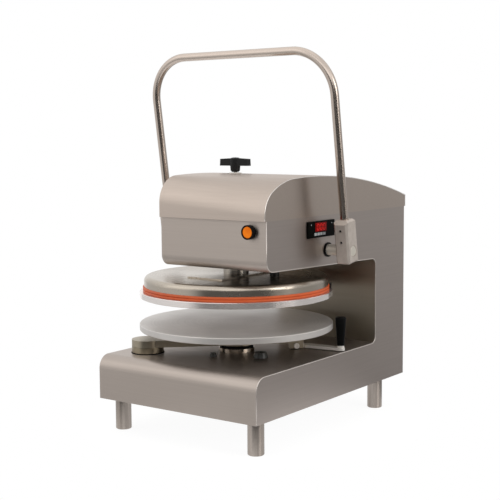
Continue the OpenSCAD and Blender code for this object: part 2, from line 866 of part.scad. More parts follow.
// Ram with a flat for the rack and a bore for the stop nut
module ram() {
    color("silver") place() difference() {
        translate([0, 0, z_ram]) cylinder(d = ram_d, h = ram_top - z_ram);
        translate([-ram_d / 2, rack_seat, rack_z - rack_run]) cube([ram_d, ram_d, ram_top]);
        translate([0, 0, z_head + ram_bore_rise]) cylinder(r = ram_bore, h = ram_top);
    }
}

// Rack on the back of the ram, with a tooth at the height of the shaft
module rack() {
    pitch = PI * tooth_module;
    half = pitch / 4 - backlash;
    lean = tan(pressure_angle);
    tip = half - tooth_module * lean;
    foot = half + 1.25 * tooth_module * lean;
    count = floor(rack_len / pitch) - 1;
    below = round((z_shaft - rack_z) / pitch) - 1;
    color("gray") place() along_x(-rack_w / 2, rack_w) union() {
        box2([rack_seat, rack_z], [rack_root, rack_z + rack_len]);
        for (i = [0 : count - 1]) translate([0, z_shaft + (i - below) * pitch])
            polygon([[rack_root - 1, -foot], [rack_root, -foot], [rack_tip, -tip],
                     [rack_tip, tip], [rack_root, foot], [rack_root - 1, foot]]);
    }
}

// Cap on the ram that meets the stop nut
module ram_cap() {
    color("dimgray") place() translate([0, 0, ram_top]) difference() {
        cylinder(d = 2 * rack_seat - 1, h = ram_cap_t);
        translate([0, 0, -1]) cylinder(d = screw_d + 2, h = ram_cap_t + 2);
    }
}

// Plate between ram and cover
module ram_plate() {
    color("silver") place() translate([-ram_plate_w / 2, -ram_plate_l / 2, z_ram_plate])
        cube([ram_plate_w, ram_plate_l, ram_plate_t]);
}

// Tube for the heater leads that slides up into the head
module conduit() {
    h = z_head + conduit_rise - z_ram_plate;
    color("dimgray") place() translate([conduit_pos[0], conduit_pos[1], z_ram_plate]) difference() {
        cylinder(d = conduit_d, h = h);
        translate([0, 0, 4]) cylinder(d = conduit_d - 4, h = h);
    }
}

// Dished cover over the heater
module platen_cover() {
    r = cover_d / 2;
    t = 1.5;
    color("lightgray") place() translate([0, 0, z_cover]) rotate_extrude($fn = 180) difference() {
        union() {
            square([r - cover_round, cover_h]);
            square([r, cover_h - cover_round]);
            translate([r - cover_round, cover_h - cover_round]) circle(cover_round);
        }
        translate([0, -1]) square([r - cover_round, cover_h - t + 1]);
        translate([0, -1]) square([r - t, cover_h - cover_round + 1]);
        translate([r - cover_round, cover_h - cover_round]) circle(cover_round - t);
        translate([-r, -r]) square([r, 2 * r]);
        translate([0, -r]) square([2 * r, r]);
    }
}

// Heat-proof seal between platen and cover
module platen_seal() {
    w = 16;
    bead = seal_h / 4;
    color("orangered") place() translate([0, 0, z_seal]) rotate_extrude($fn = 180) union() {
        translate([seal_d / 2 - w, 0]) square([w - bead, seal_h]);
        for (z = [bead, seal_h - bead]) translate([seal_d / 2 - bead, z]) circle(bead, $fn = 32);
    }
}

// Disc with chamfered edges
module disc(d, h, c) {
    rotate_extrude($fn = 180)
        polygon([[0, 0], [d / 2 - c, 0], [d / 2, c], [d / 2, h - c], [d / 2 - c, h], [0, h]]);
}

// Heated upper platen
module upper_platen() {
    color("silver") place() translate([0, 0, z_upper]) disc(upper_d, upper_t, 1);
}

// Heating ring on the back of the upper platen
module heater_ring() {
    r = 5;
    color("saddlebrown") place() translate([0, 0, z_seal]) rotate_extrude()
        translate([upper_d / 2 - heater_inset, 0]) intersection() {
            translate([0, r - 0.5]) circle(r);
            translate([-r, 0]) square(2 * r);
        }
}

// Lower platen
module lower_platen() {
    color("silver") place() translate([0, 0, z_lower - lower_t]) disc(lower_d, lower_t, 1.5);
}

// Hub under the lower platen
module platen_hub() {
    z_flange = z_lower - lower_t - hub_flange_t;
    z_foot = z_top + pad_h + move_gap;
    color("gray") place() {
        translate([0, 0, z_flange]) cylinder(d = hub_flange_d, h = hub_flange_t);
        translate([0, 0, z_arm + arm_t]) cylinder(d = hub_boss_d, h = z_flange - z_arm - arm_t);
        translate([0, 0, z_foot]) cylinder(d = hub_shank_d, h = z_arm + arm_t - z_foot);
    }
}

// Turns a piece so that +X runs along the swing arm, away from the pivot
module along_arm() {
    rotate(arm_angle) children();
}

// Swing arm with its round pivot end, hub eye and clevis for the tail bar
module swing_arm() {
    color("silver") place() along_arm() difference() {
        union() {
            translate([0, 0, z_arm]) linear_extrude(arm_t) union() {
                translate([-pivot_reach, 0]) circle(d = pivot_d);
                circle(d = hub_flange_d);
                polygon([[-pivot_reach, -pivot_d / 2 + 3], [0, -hub_boss_d / 2],
                         [tail_lug[1], -tongue_w / 2 - lug_wall], [tail_lug[1], tongue_w / 2 + lug_wall],
                         [0, hub_boss_d / 2], [-pivot_reach, pivot_d / 2 - 3]]);
            }
            translate([tail_lug[0], -tongue_w / 2 - lug_wall, z_tail])
                cube([tail_lug[1] - tail_lug[0], tongue_w + 2 * lug_wall, z_arm + arm_t - z_tail]);
        }
        translate([-pivot_reach, 0, z_arm - 1]) cylinder(d = pin_d + 2 * run_fit, h = arm_t - 5 + 1);
        translate([0, 0, z_arm - 1]) cylinder(d = hub_shank_d + 2 * seat_fit, h = arm_t + 2);
        translate([tail_lug[0] - 1, -tongue_w / 2 - 0.1, z_tail - 1])
            cube([tail_lug[1] - tail_lug[0] + 2, tongue_w + 0.2, z_arm - z_tail + 1]);
        bolt_place() cylinder(d = bolt_d + 2 * seat_fit, h = 4 * (tongue_w + lug_wall), center = true);
    }
}

// Cross bolt of the clevis, with +Z towards the front
module bolt_place() {
    translate([(tail_lug[0] + tail_lug[1]) / 2, 0, z_tail + bolt_rise]) rotate([90, 0, 0]) children();
}

// Flat bar from the clevis out to the grip
module tail_bar() {
    bend = [tail_lug[1] + tail_w / 2 + tail_step, 0];
    side = [bend[1] - grip_pos[1], grip_pos[0] - bend[0]] / norm(grip_pos - bend);
    color("silver") place() along_arm() difference() {
        union() {
            translate([tail_lug[0] + tongue_end, -tongue_w / 2, z_tail])
                cube([tail_lug[1] - tail_lug[0], tongue_w, tongue_h]);
            translate([0, 0, z_tail]) linear_extrude(tail_t) union() {
                translate([tail_lug[1] + tail_step, -tongue_w / 2]) square([bend[0] - tail_lug[1], tongue_w]);
                translate(bend) circle(d = tail_w);
                polygon([bend + side * tail_w / 2, grip_pos + side * (tail_w / 2 - tail_taper),
                         grip_pos - side * (tail_w / 2 - tail_taper), bend - side * tail_w / 2]);
                translate(grip_pos) circle(d = tail_w - 2 * tail_taper);
            }
        }
        bolt_place() cylinder(d = bolt_d + 2 * seat_fit, h = 4 * (tongue_w + lug_wall), center = true);
    }
}

// Bolt through clevis and tail bar
module tail_bolt() {
    half = tongue_w / 2 + lug_wall;
    color("white") place() along_arm() bolt_place() difference() {
        union() {
            translate([0, 0, -half]) cylinder(d = bolt_d, h = 2 * half);
            translate([0, 0, half]) cylinder(d = 13, h = 5);
        }
        translate([0, 0, half + 2]) cylinder(d = 6, h = 5, $fn = 6);
    }
}

// Black grip on the end of the tail bar
module grip() {
    z0 = z_tail + tail_t + ferrule_h;
    r0 = ferrule_d / 2;
    r1 = grip_d / 2;
    edge = 3;
    color("black") place() along_arm() translate([grip_pos[0], grip_pos[1], z0]) rotate_extrude()
        polygon([[0, 0], [r0, 0], [r1, grip_len - edge], [r1 - edge / 2, grip_len - edge / 3],
                 [r1 - edge, grip_len], [0, grip_len]]);
}

// Metal ferrule under the grip
module grip_ferrule() {
    color("silver") place() along_arm() translate([grip_pos[0], grip_pos[1], z_tail + tail_t])
        cylinder(d = ferrule_d, h = ferrule_h);
}

// T-shaped thickness knob above the hood
module thickness_knob() {
    z0 = hood_top + knob_gap;
    hub = 12;
    bar_y = 7;
    bar_z = knob_h * 0.42;
    bar_h = knob_h * 0.5;
    color("black") place() translate([0, 0, z0]) difference() {
        union() {
            rotate_extrude() polygon([[0, 0], [hub - 4, 0], [hub - 1, 3], [hub, bar_z],
                [hub, knob_h - 3], [hub - 4, knob_h - 0.8], [0, knob_h]]);
            translate([0, bar_y, bar_z]) rotate([90, 0, 0]) linear_extrude(2 * bar_y)
                polygon([[-knob_w / 2, 0], [knob_w / 2, 0], [knob_w / 2 - 1, bar_h - 1],
                         [0, bar_h + 1], [-knob_w / 2 + 1, bar_h - 1]]);
        }
        translate([0, 0, -1]) cylinder(d = screw_d + 2 * seat_fit, h = 13);
    }
}

// Thickness screw, held by its collar on the bridge
module adjuster_screw() {
    low = z_nut - 6;
    color("gray") place() {
        translate([0, 0, low]) cylinder(d = screw_d, h = hood_top + knob_gap + 11.5 - low);
        translate([0, 0, z_bridge + bridge_t + 0.3]) cylinder(d = screw_d + 8, h = 6);
    }
}

// Stop nut inside the ram
module stop_nut() {
    color("goldenrod") place() translate([0, 0, z_nut]) difference() {
        cylinder(r = ram_bore - move_gap, h = nut_h);
        translate([0, 0, -1]) cylinder(d = screw_d + 2 * run_fit, h = nut_h + 2);
    }
}

base_cover();
base_side_left();
side_panel_right();
head_side_left();
head_pan();
column_front();
rear_panel();
bottom_plate();
hood();
leg_front_left();
leg_front_right();
leg_rear_left();
leg_rear_right();
frame_plate_left();
frame_plate_right();
ram_guide();
shaft_bearing_left();
shaft_bearing_right();
panel_bush_left();
panel_bush_right();
return_spring();
adjuster_bridge();
support_pad();
rest_bumper();
pivot_post();
cord_gland();
controller_body();
controller_bezel();
display_window();
power_barrel();
press_shaft();
pinion();
lever_block_left();
lever_block_right();
handle();
set_screws();
ram();
rack();
ram_cap();
ram_plate();
conduit();
platen_cover();
platen_seal();
upper_platen();
heater_ring();
lower_platen();
platen_hub();
swing_arm();
tail_bar();
tail_bolt();
grip();
grip_ferrule();
thickness_knob();
adjuster_screw();
stop_nut();
power_cap();
key_set();
key_down();
key_up();
key_start();
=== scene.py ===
import json
import math

import bmesh
import bpy
from mathutils import Matrix, Vector


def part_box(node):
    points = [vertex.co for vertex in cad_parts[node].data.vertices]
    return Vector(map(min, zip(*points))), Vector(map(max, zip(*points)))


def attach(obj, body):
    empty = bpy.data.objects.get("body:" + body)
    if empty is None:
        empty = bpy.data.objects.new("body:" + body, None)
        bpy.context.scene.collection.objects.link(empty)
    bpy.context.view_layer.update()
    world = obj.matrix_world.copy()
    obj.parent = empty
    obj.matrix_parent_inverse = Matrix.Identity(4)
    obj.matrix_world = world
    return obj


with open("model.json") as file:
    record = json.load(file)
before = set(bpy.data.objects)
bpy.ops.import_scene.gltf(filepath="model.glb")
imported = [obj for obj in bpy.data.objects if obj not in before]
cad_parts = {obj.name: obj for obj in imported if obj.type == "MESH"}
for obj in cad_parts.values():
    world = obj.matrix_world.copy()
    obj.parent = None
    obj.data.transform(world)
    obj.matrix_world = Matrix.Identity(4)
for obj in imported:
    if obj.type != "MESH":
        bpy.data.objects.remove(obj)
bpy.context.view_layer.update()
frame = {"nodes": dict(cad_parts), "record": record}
nodes = frame["nodes"]
print("frame loaded:", len(nodes), "nodes")

scene = bpy.context.scene
scene.view_settings.view_transform = "Standard"

# platen axis, from the round pad under the hub
padLow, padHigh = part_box("support_pad")
axisX = (padLow.x + padHigh.x) / 2
axisY = (padLow.y + padHigh.y) / 2


# camera at the photograph's place, straight lens without shift
viewPoint = {
    "place": (1.5237, -2.1496, 0.6816),
    "right": (0.8081, 0.5890, -0.0067),
    "up": (-0.0553, 0.0871, 0.9947),
    "lens": 78.99,
    "sensor": 36.0,
    "reach": 60.0,
}


def makeCamera(cfg):
    data = bpy.data.cameras.new("photoCamera")
    data.lens = cfg["lens"]
    data.sensor_width = cfg["sensor"]
    data.clip_end = cfg["reach"]
    cam = bpy.data.objects.new("photoCamera", data)
    scene.collection.objects.link(cam)
    right = Vector(cfg["right"]).normalized()
    back = right.cross(Vector(cfg["up"])).normalized()
    up = back.cross(right)
    turn = Matrix((right, up, back)).transposed()
    cam.matrix_world = Matrix.Translation(cfg["place"]) @ turn.to_4x4()
    scene.camera = cam


makeCamera(viewPoint)
print("camera set")


# small helpers for node trees
def newTree(name):
    mat = bpy.data.materials.new(name)
    mat.use_nodes = True
    tree = mat.node_tree
    tree.nodes.clear()
    return mat, tree


def addNode(tree, kind, **settings):
    made = tree.nodes.new(kind)
    for key, value in settings.items():
        setattr(made, key, value)
    return made


def feed(tree, socket, value):  # a link, a colour or a plain value
    if isinstance(value, bpy.types.NodeSocket):
        tree.links.new(value, socket)
    elif socket.type == "RGBA":
        socket.default_value = (*value, 1.0)
    else:
        socket.default_value = value


def mathNode(tree, operation, *values):
    made = addNode(tree, "ShaderNodeMath", operation=operation)
    for socket, value in zip(made.inputs, values):
        feed(tree, socket, value)
    return made.outputs[0]


def crossNode(tree, a, b):
    made = addNode(tree, "ShaderNodeVectorMath", operation="CROSS_PRODUCT")
    feed(tree, made.inputs[0], a)
    feed(tree, made.inputs[1], b)
    return made.outputs[0]


def mixColor(tree, factor, a, b):
    made = addNode(tree, "ShaderNodeMix", data_type="RGBA")
    for index, value in ((0, factor), (6, a), (7, b)):  # the sockets of the colour mode
        feed(tree, made.inputs[index], value)
    return made.outputs[2]


def objectCoords(tree):
    return addNode(tree, "ShaderNodeTexCoord").outputs["Object"]


def noiseNode(tree, vector, scale, detail=2.0, tooth=0.5):
    made = addNode(tree, "ShaderNodeTexNoise")
    for label, value in (("Vector", vector), ("Scale", scale), ("Detail", detail), ("Roughness", tooth)):
        feed(tree, made.inputs[label], value)
    return made.outputs["Fac"]


def newGroup(name, inputs, outputs):
    tree = bpy.data.node_groups.new(name, "ShaderNodeTree")
    for label, kind in inputs:
        tree.interface.new_socket(label, in_out="INPUT", socket_type=kind)
    for label in outputs:
        tree.interface.new_socket(label, in_out="OUTPUT", socket_type="NodeSocketFloat")
    return tree, addNode(tree, "NodeGroupInput").outputs, addNode(tree, "NodeGroupOutput").inputs


def useGroup(tree, group, **values):
    made = addNode(tree, "ShaderNodeGroup", node_tree=group)
    for label, value in values.items():
        feed(tree, made.inputs[label], value)
    return made.outputs


# long scratches of a sanding belt, drawn out along one axis of the stretched coordinates
beltMarks = {"detail": 6.0, "tooth": 0.7, "patch": 3.0, "share": 0.6, "swing": 0.06, "depth": 0.0004,
             "axis": (1.0, 0.3, 0.0)}


def buildBrushGrain(cfg):
    tree, given, out = newGroup("brushGrain", [("Vector", "NodeSocketVector")], ["Scratch", "Cloud"])
    feed(tree, out["Scratch"], noiseNode(tree, given["Vector"], 1.0, cfg["detail"], cfg["tooth"]))
    feed(tree, out["Cloud"], noiseNode(tree, objectCoords(tree), cfg["patch"]))
    return tree


# fine bumps of cast plastic or rubber, with a slow change in gloss
mouldMarks = {"grain": 900.0, "detail": 3.0, "patch": 25.0, "swing": 0.06, "depth": 0.0003}


def buildMouldGrain(cfg):
    tree, given, out = newGroup(
        "mouldGrain", [("Grain", "NodeSocketFloat"), ("Patch", "NodeSocketFloat")], ["Height", "Cloud"])
    coords = objectCoords(tree)
    feed(tree, out["Height"], noiseNode(tree, coords, given["Grain"], cfg["detail"]))
    feed(tree, out["Cloud"], noiseNode(tree, coords, given["Patch"]))
    return tree


# faint rings of a lathe tool round a vertical axis
latheMarks = {"rings": 700.0, "detail": 3.0, "patch": 9.0, "patchDetail": 4.0, "share": 0.5, "swing": 0.05,
              "depth": 0.0003}


def buildLatheRings(cfg):
    tree, given, out = newGroup(
        "latheRings", [("Vector", "NodeSocketVector"), ("Rings", "NodeSocketFloat")], ["Ring", "Cloud"])
    split = addNode(tree, "ShaderNodeSeparateXYZ")
    feed(tree, split.inputs[0], given["Vector"])
    squares = [mathNode(tree, "MULTIPLY", side, side) for side in split.outputs[:2]]
    radius = mathNode(tree, "SQRT", mathNode(tree, "ADD", *squares))
    line = addNode(tree, "ShaderNodeCombineXYZ")
    feed(tree, line.inputs[0], mathNode(tree, "MULTIPLY", radius, given["Rings"]))
    feed(tree, out["Ring"], noiseNode(tree, line.outputs[0], 1.0, cfg["detail"]))
    feed(tree, out["Cloud"], noiseNode(tree, given["Vector"], cfg["patch"], cfg["patchDetail"]))
    return tree


brushGrain = buildBrushGrain(beltMarks)
mouldGrain = buildMouldGrain(mouldMarks)
latheRings = buildLatheRings(latheMarks)
print("grain groups built")


def shaderFor(tree, metallic, anisotropic=0.0):
    out = addNode(tree, "ShaderNodeOutputMaterial")
    bsdf = addNode(tree, "ShaderNodeBsdfPrincipled")
    bsdf.inputs["Metallic"].default_value = metallic
    bsdf.inputs["Anisotropic"].default_value = anisotropic
    feed(tree, out.inputs[0], bsdf.outputs[0])
    return bsdf


noiseSpan = (0.3, 0.7)  # nearly all of a noise lies between these


def rampTo(tree, value, low, high):
    made = addNode(tree, "ShaderNodeMapRange")
    limits = (("From Min", noiseSpan[0]), ("From Max", noiseSpan[1]), ("To Min", low), ("To Max", high))
    for label, limit in limits:
        made.inputs[label].default_value = limit
    feed(tree, made.inputs["Value"], value)
    return made.outputs[0]


def weighed(tree, first, share, second):
    parts = [mathNode(tree, "MULTIPLY", first, share), mathNode(tree, "MULTIPLY", second, 1 - share)]
    return mathNode(tree, "ADD", *parts)


# colour runs from low to high with the tone, while roughness falls by the swing
def toneSurface(tree, bsdf, tone, low, high, rough, swing):
    color = mixColor(tree, rampTo(tree, tone, 0.0, 1.0), low, high)
    feed(tree, bsdf.inputs["Base Color"], color)
    feed(tree, bsdf.inputs["Roughness"], rampTo(tree, tone, rough + swing, rough - swing))
    return color


def bumpFrom(tree, bsdf, height, strength, distance):
    bump = addNode(tree, "ShaderNodeBump")
    bump.inputs["Strength"].default_value = strength
    bump.inputs["Distance"].default_value = distance
    feed(tree, bump.inputs["Height"], height)
    feed(tree, bsdf.inputs["Normal"], bump.outputs[0])


# scratches spread a reflection across their own direction, so the tangent runs across the grain
def spreadAcross(tree, bsdf, grainAxis):
    normal = addNode(tree, "ShaderNodeNewGeometry").outputs["Normal"]
    feed(tree, bsdf.inputs["Tangent"], crossNode(tree, normal, grainAxis))


# direction round an upright tube, at right angles to its normal
def roundTube(tree):
    return crossNode(tree, (0, 0, 1), addNode(tree, "ShaderNodeNewGeometry").outputs["Normal"])


# brushed sheet: stretch gives the direction of the scratches
def brushedMetal(name, color, dark, rough, stretch, bump=0.1, metal=1.0, spread=0.0, tube=False):
    mat, tree = newTree(name)
    bsdf = shaderFor(tree, metal, spread)
    if spread:
        spreadAcross(tree, bsdf, roundTube(tree) if tube else beltMarks["axis"])
    mapping = addNode(tree, "ShaderNodeMapping")
    mapping.inputs["Scale"].default_value = stretch
    feed(tree, mapping.inputs["Vector"], objectCoords(tree))
    grain = useGroup(tree, brushGrain, Vector=mapping.outputs[0])
    tone = weighed(tree, grain["Scratch"], beltMarks["share"], grain["Cloud"])
    toneSurface(tree, bsdf, tone, dark, color, rough, beltMarks["swing"])
    bumpFrom(tree, bsdf, grain["Scratch"], bump, beltMarks["depth"])
    return mat


# turned piece: rings round a vertical axis through the centre
def turnedMetal(name, color, dark, rough, centre=(0, 0, 0), rings=latheMarks["rings"], bump=0.08, metal=1.0,
                spread=0.0):
    mat, tree = newTree(name)
    bsdf = shaderFor(tree, metal, spread)
    mapping = addNode(tree, "ShaderNodeMapping")
    mapping.inputs["Location"].default_value = [-c for c in centre]
    feed(tree, mapping.inputs["Vector"], objectCoords(tree))
    if spread:
        spreadAcross(tree, bsdf, crossNode(tree, (0, 0, 1), mapping.outputs[0]))
    marks = useGroup(tree, latheRings, Vector=mapping.outputs[0], Rings=rings)
    tone = weighed(tree, marks["Ring"], latheMarks["share"], marks["Cloud"])
    toneSurface(tree, bsdf, tone, dark, color, rough, latheMarks["swing"])
    bumpFrom(tree, bsdf, marks["Ring"], bump, latheMarks["depth"])
    return mat


def mouldedPlastic(name, color, light, rough, grain=mouldMarks["grain"], bump=0.15, shine=0.5):
    mat, tree = newTree(name)
    bsdf = shaderFor(tree, 0.0)
    bsdf.inputs["Specular IOR Level"].default_value = shine
    marks = useGroup(tree, mouldGrain, Grain=grain, Patch=mouldMarks["patch"])
    toneSurface(tree, bsdf, marks["Cloud"], color, light, rough, -mouldMarks["swing"])
    bumpFrom(tree, bsdf, marks["Height"], bump, mouldMarks["depth"])
    return mat


# lens or window lit from behind
lensMarks = {"patch": 60.0, "swing": 0.04, "shine": 0.1}


def litLens(name, color, deep, glow, rough):
    mat, tree = newTree(name)
    bsdf = shaderFor(tree, 0.0)
    bsdf.inputs["Specular IOR Level"].default_value = lensMarks["shine"]
    bsdf.inputs["Emission Strength"].default_value = glow
    marks = useGroup(tree, mouldGrain, Patch=lensMarks["patch"])
    tone = toneSurface(tree, bsdf, marks["Cloud"], deep, color, rough, -lensMarks["swing"])
    feed(tree, bsdf.inputs["Emission Color"], tone)
    return mat


# finishes: two tones of the colour, roughness, then the lie of the marks; a lens has its glow first
grainAcross = (3, 260, 260)
grainDeep = (260, 3, 260)
grainEven = (60, 60, 60)
sheetSpread = 0.75
platenCentre = (axisX, axisY, 0.0)
finish = {
    "frontSheet": brushedMetal("steelGrainAcross", (0.45, 0.394, 0.354), (0.415, 0.362, 0.325), 0.35,
                               grainAcross, spread=sheetSpread),
    "sideSheet": brushedMetal("steelGrainDeep", (0.468, 0.41, 0.377), (0.43, 0.377, 0.346), 0.36,
                              grainDeep, spread=sheetSpread),
    "hood": brushedMetal("hoodSteel", (0.51, 0.435, 0.382), (0.471, 0.402, 0.352), 0.34,
                         grainAcross, spread=sheetSpread),
    # the throat is the front's steel painted darker and warmer: painted shade under the head
    "throat": brushedMetal("throatSteelPaintedShade", (0.37, 0.33, 0.27), (0.335, 0.30, 0.245), 0.36,
                           grainAcross, spread=sheetSpread),
    "plain": brushedMetal("plainSheet", (0.34, 0.34, 0.34), (0.28, 0.28, 0.28), 0.5, grainEven),
    # rolled edges, far lighter than the sheet: painted highlight along the bends
    "edge": brushedMetal("sheetEdgePaintedHighlight", (0.80, 0.75, 0.70), (0.73, 0.68, 0.63), 0.42, grainEven, bump=0.04),
    "paintedHighlightEdge": brushedMetal("edgePaintedHighlight", (0.92, 0.88, 0.84), (0.86, 0.82, 0.78), 0.36,
                               grainEven, bump=0.03),
    # legs: the very dark second tone draws vertical bands, partly drawing marks and partly painted reflection
    # bands
    "leg": brushedMetal("legTubeDrawnMarksPaintedBands", (0.57, 0.51, 0.462), (0.18, 0.147, 0.125), 0.36,
                        (52, 52, 1.5), bump=0.03, spread=0.9, tube=True),
    "tube": brushedMetal("handleTube", (0.57, 0.49, 0.43), (0.52, 0.445, 0.39), 0.20,
                         (3, 5, 5), bump=0.0, spread=0.85, tube=True),
    "block": brushedMetal("blockAluminium", (0.68, 0.61, 0.555), (0.46, 0.40, 0.35), 0.46,
                          (48, 48, 34), bump=0.2, metal=0.6),
    "shaft": brushedMetal("groundShaft", (0.69, 0.645, 0.565), (0.61, 0.565, 0.49), 0.40,
                          (6, 160, 160), bump=0.05, metal=0.5),
    # plated steel lifted almost to white: painted light on the bar in the shade under the platen; the washer
    # and rear screws share it
    "tail": brushedMetal("platedBarPaintedLight", (0.95, 0.91, 0.86), (0.88, 0.84, 0.78), 0.32,
                         (90, 90, 90), bump=0.05, metal=0.55),
    "hub": brushedMetal("hubSteel", (0.62, 0.55, 0.47), (0.52, 0.46, 0.39), 0.16, (40, 40, 160), bump=0.03),
    "arm": brushedMetal("armSteel", (0.43, 0.38, 0.295), (0.38, 0.335, 0.26), 0.37, (20, 20, 60), bump=0.0),
    "post": brushedMetal("postSteel", (0.37, 0.32, 0.235), (0.32, 0.275, 0.20), 0.33, (20, 20, 90), bump=0.0),
    "blackSteel": brushedMetal("blackSteel", (0.06, 0.058, 0.055), (0.04, 0.04, 0.04), 0.4, grainEven),
    "spring": brushedMetal("springWire", (0.36, 0.36, 0.38), (0.28, 0.28, 0.30), 0.3, (90, 90, 90)),
    "heater": brushedMetal("heaterSheath", (0.30, 0.20, 0.14), (0.22, 0.15, 0.11), 0.45, grainEven),
    "platen": turnedMetal("platenAluminium", (0.77, 0.735, 0.705), (0.58, 0.555, 0.53), 0.46,
                          platenCentre, rings=240.0, bump=0.12, metal=0.75),
    "rim": turnedMetal("turnedRim", (0.90, 0.84, 0.81), (0.82, 0.77, 0.74), 0.22,
                       platenCentre, bump=0.03, metal=0.8, spread=0.85),
    "cover": turnedMetal("spunCover", (0.51, 0.455, 0.385), (0.45, 0.40, 0.34), 0.27,
                         platenCentre, rings=400.0, bump=0.03, spread=0.5),
    "machined": turnedMetal("machinedSteel", (0.50, 0.47, 0.43), (0.40, 0.38, 0.35), 0.28,
                            platenCentre, rings=300.0),
    "bronze": turnedMetal("bronzeBush", (0.60, 0.42, 0.22), (0.45, 0.30, 0.15), 0.35, rings=300.0),
    "innerFrame": mouldedPlastic("frameSteel", (0.20, 0.21, 0.22), (0.24, 0.25, 0.26), 0.5),  # painted plates
    "knob": mouldedPlastic("knobPlastic", (0.007, 0.007, 0.007), (0.012, 0.012, 0.012), 0.38, shine=0.2),
    "bumper": mouldedPlastic("bumperRubber", (0.010, 0.010, 0.007), (0.018, 0.017, 0.012), 0.36, bump=0.1),
    "black": mouldedPlastic("blackPlastic", (0.004, 0.004, 0.004), (0.008, 0.008, 0.008), 0.40, shine=0.05),
    "bezel": mouldedPlastic("bezelPlastic", (0.002, 0.0025, 0.002), (0.004, 0.0045, 0.004), 0.34,
                            bump=0.06, shine=0.03),
    "rubber": mouldedPlastic("blackRubber", (0.008, 0.008, 0.008), (0.014, 0.013, 0.012), 0.62,
                             bump=0.25, shine=0.08),
    "seal": mouldedPlastic("orangeSilicone", (0.68, 0.118, 0.032), (0.76, 0.145, 0.04), 0.45,
                           grain=500.0, bump=0.1, shine=0.3),
    "key": mouldedPlastic("keyGrey", (0.34, 0.36, 0.37), (0.42, 0.44, 0.45), 0.45),
    "amber": litLens("amberLens", (0.60, 0.145, 0.003), (0.48, 0.095, 0.0015), 0.72, 0.35),
    "red": litLens("redWindow", (0.155, 0.0015, 0.001), (0.11, 0.001, 0.0008), 0.45, 0.3),
    "digit": litLens("litDigits", (0.50, 0.014, 0.010), (0.42, 0.010, 0.008), 0.7, 0.4),
}
print("materials made:", len(finish))

slotFinish = {
    "stainless_sheet": "frontSheet", "stainless_hood": "hood", "galvanised_sheet": "plain",
    "stainless_leg": "leg", "frame_steel": "innerFrame", "bronze": "bronze", "black_plastic": "black",
    "black_rubber": "rubber", "spring_steel": "spring", "machined_steel": "machined", "red_window": "red",
    "block_aluminium": "block", "handle_tube": "tube", "black_steel": "blackSteel",
    "stainless_cover": "cover", "orange_silicone": "seal", "platen_aluminium": "platen",
    "heater_steel": "heater", "amber_lens": "amber", "key_grey": "key",
}
# nodes whose look differs from the rest of their slot
ownFinish = {
    "side_panel_right": "sideSheet", "base_side_left": "sideSheet", "head_side_left": "sideSheet",
    "column_front": "throat", "controller_bezel": "bezel", "upper_platen": "rim", "press_shaft": "shaft",
    "tail_bar": "tail", "tail_bolt": "tail", "grip_ferrule": "tail", "swing_arm": "arm",
    "pivot_post": "post", "support_pad": "hub", "thickness_knob": "knob", "rest_bumper": "bumper",
}


def dressNodes():
    slots = {row["node"]: row["material_slot"] for row in frame["record"]["subparts"]}
    for name, obj in nodes.items():
        look = ownFinish.get(name) or slotFinish[slots[name]]
        obj.data.materials.clear()
        obj.data.materials.append(finish[look])


dressNodes()
print("nodes dressed")


# places are in millimetres: x and y from the platen axis, z from the table
def at(x, y, z):
    return Vector((x / 1000 + axisX, y / 1000 + axisY, z / 1000))


def cornersOf(name):
    axis = Vector((axisX, axisY, 0))
    return [(corner - axis) * 1000 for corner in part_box(name)]


def meshObject(name, bm):
    mesh = bpy.data.meshes.new(name)
    bm.to_mesh(mesh)
    bm.free()
    obj = bpy.data.objects.new(name, mesh)
    scene.collection.objects.link(obj)
    return obj


mergeDistance = 0.000005


def finishPiece(name, bm, look, body, smooth=True):
    bmesh.ops.remove_doubles(bm, verts=bm.verts[:], dist=mergeDistance)
    bmesh.ops.holes_fill(bm, edges=[e for e in bm.edges if e.is_boundary], sides=0)
    bmesh.ops.recalc_face_normals(bm, faces=bm.faces[:])
    for face in bm.faces:
        face.smooth = smooth
    obj = meshObject(name, bm)
    obj.data.materials.append(finish[look])
    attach(obj, body)


def roundProfile(bm, points, centre, axis, steps):
    verts = [bm.verts.new(p) for p in points]
    edges = [bm.edges.new(pair) for pair in zip(verts, verts[1:])]
    bmesh.ops.spin(bm, geom=verts + edges, cent=centre, axis=axis, angle=math.tau, steps=steps,
                   use_merge=True, use_duplicate=False)


def bevelBox(bm, size, centre, width, segments):
    verts = bmesh.ops.create_cube(bm, size=0.001)["verts"]
    bmesh.ops.scale(bm, verts=verts, vec=size)
    bmesh.ops.translate(bm, verts=verts, vec=centre)
    edges = list({e for v in verts for e in v.link_edges})
    bmesh.ops.bevel(bm, geom=edges, offset=width / 1000, offset_type="OFFSET", affect="EDGES",
                    segments=segments, profile=0.5, material=-1)


# rolled edges: a thin ring drawn along a run of points in the plane of the right side, coloured far lighter
# than the sheet as a painted highlight
bead = {"sunk": 0.3, "inset": 1.0, "radius": 1.0, "sides": 8}


def drawBead(bm, points, cfg):
    ring = bmesh.ops.create_circle(bm, segments=cfg["sides"], radius=cfg["radius"] / 1000)["verts"]
    offsets = [v.co.copy() for v in ring]
    side = Vector((1, 0, 0))
    last = len(points) - 1
    for i, point in enumerate(points):
        ahead = (points[min(i + 1, last)] - points[max(i - 1, 0)]).normalized()
        up = ahead.cross(side)
        if i:
            edges = {e for v in ring for e in v.link_edges if e.other_vert(v) in ring}
            grown = bmesh.ops.extrude_edge_only(bm, edges=list(edges))["geom"]
            fresh = {v for v in grown if isinstance(v, bmesh.types.BMVert)}
            ring = [next(e.other_vert(v) for e in v.link_edges if e.other_vert(v) in fresh) for v in ring]
        for v, off in zip(ring, offsets):
            v.co = point + side * off.x + up * off.y


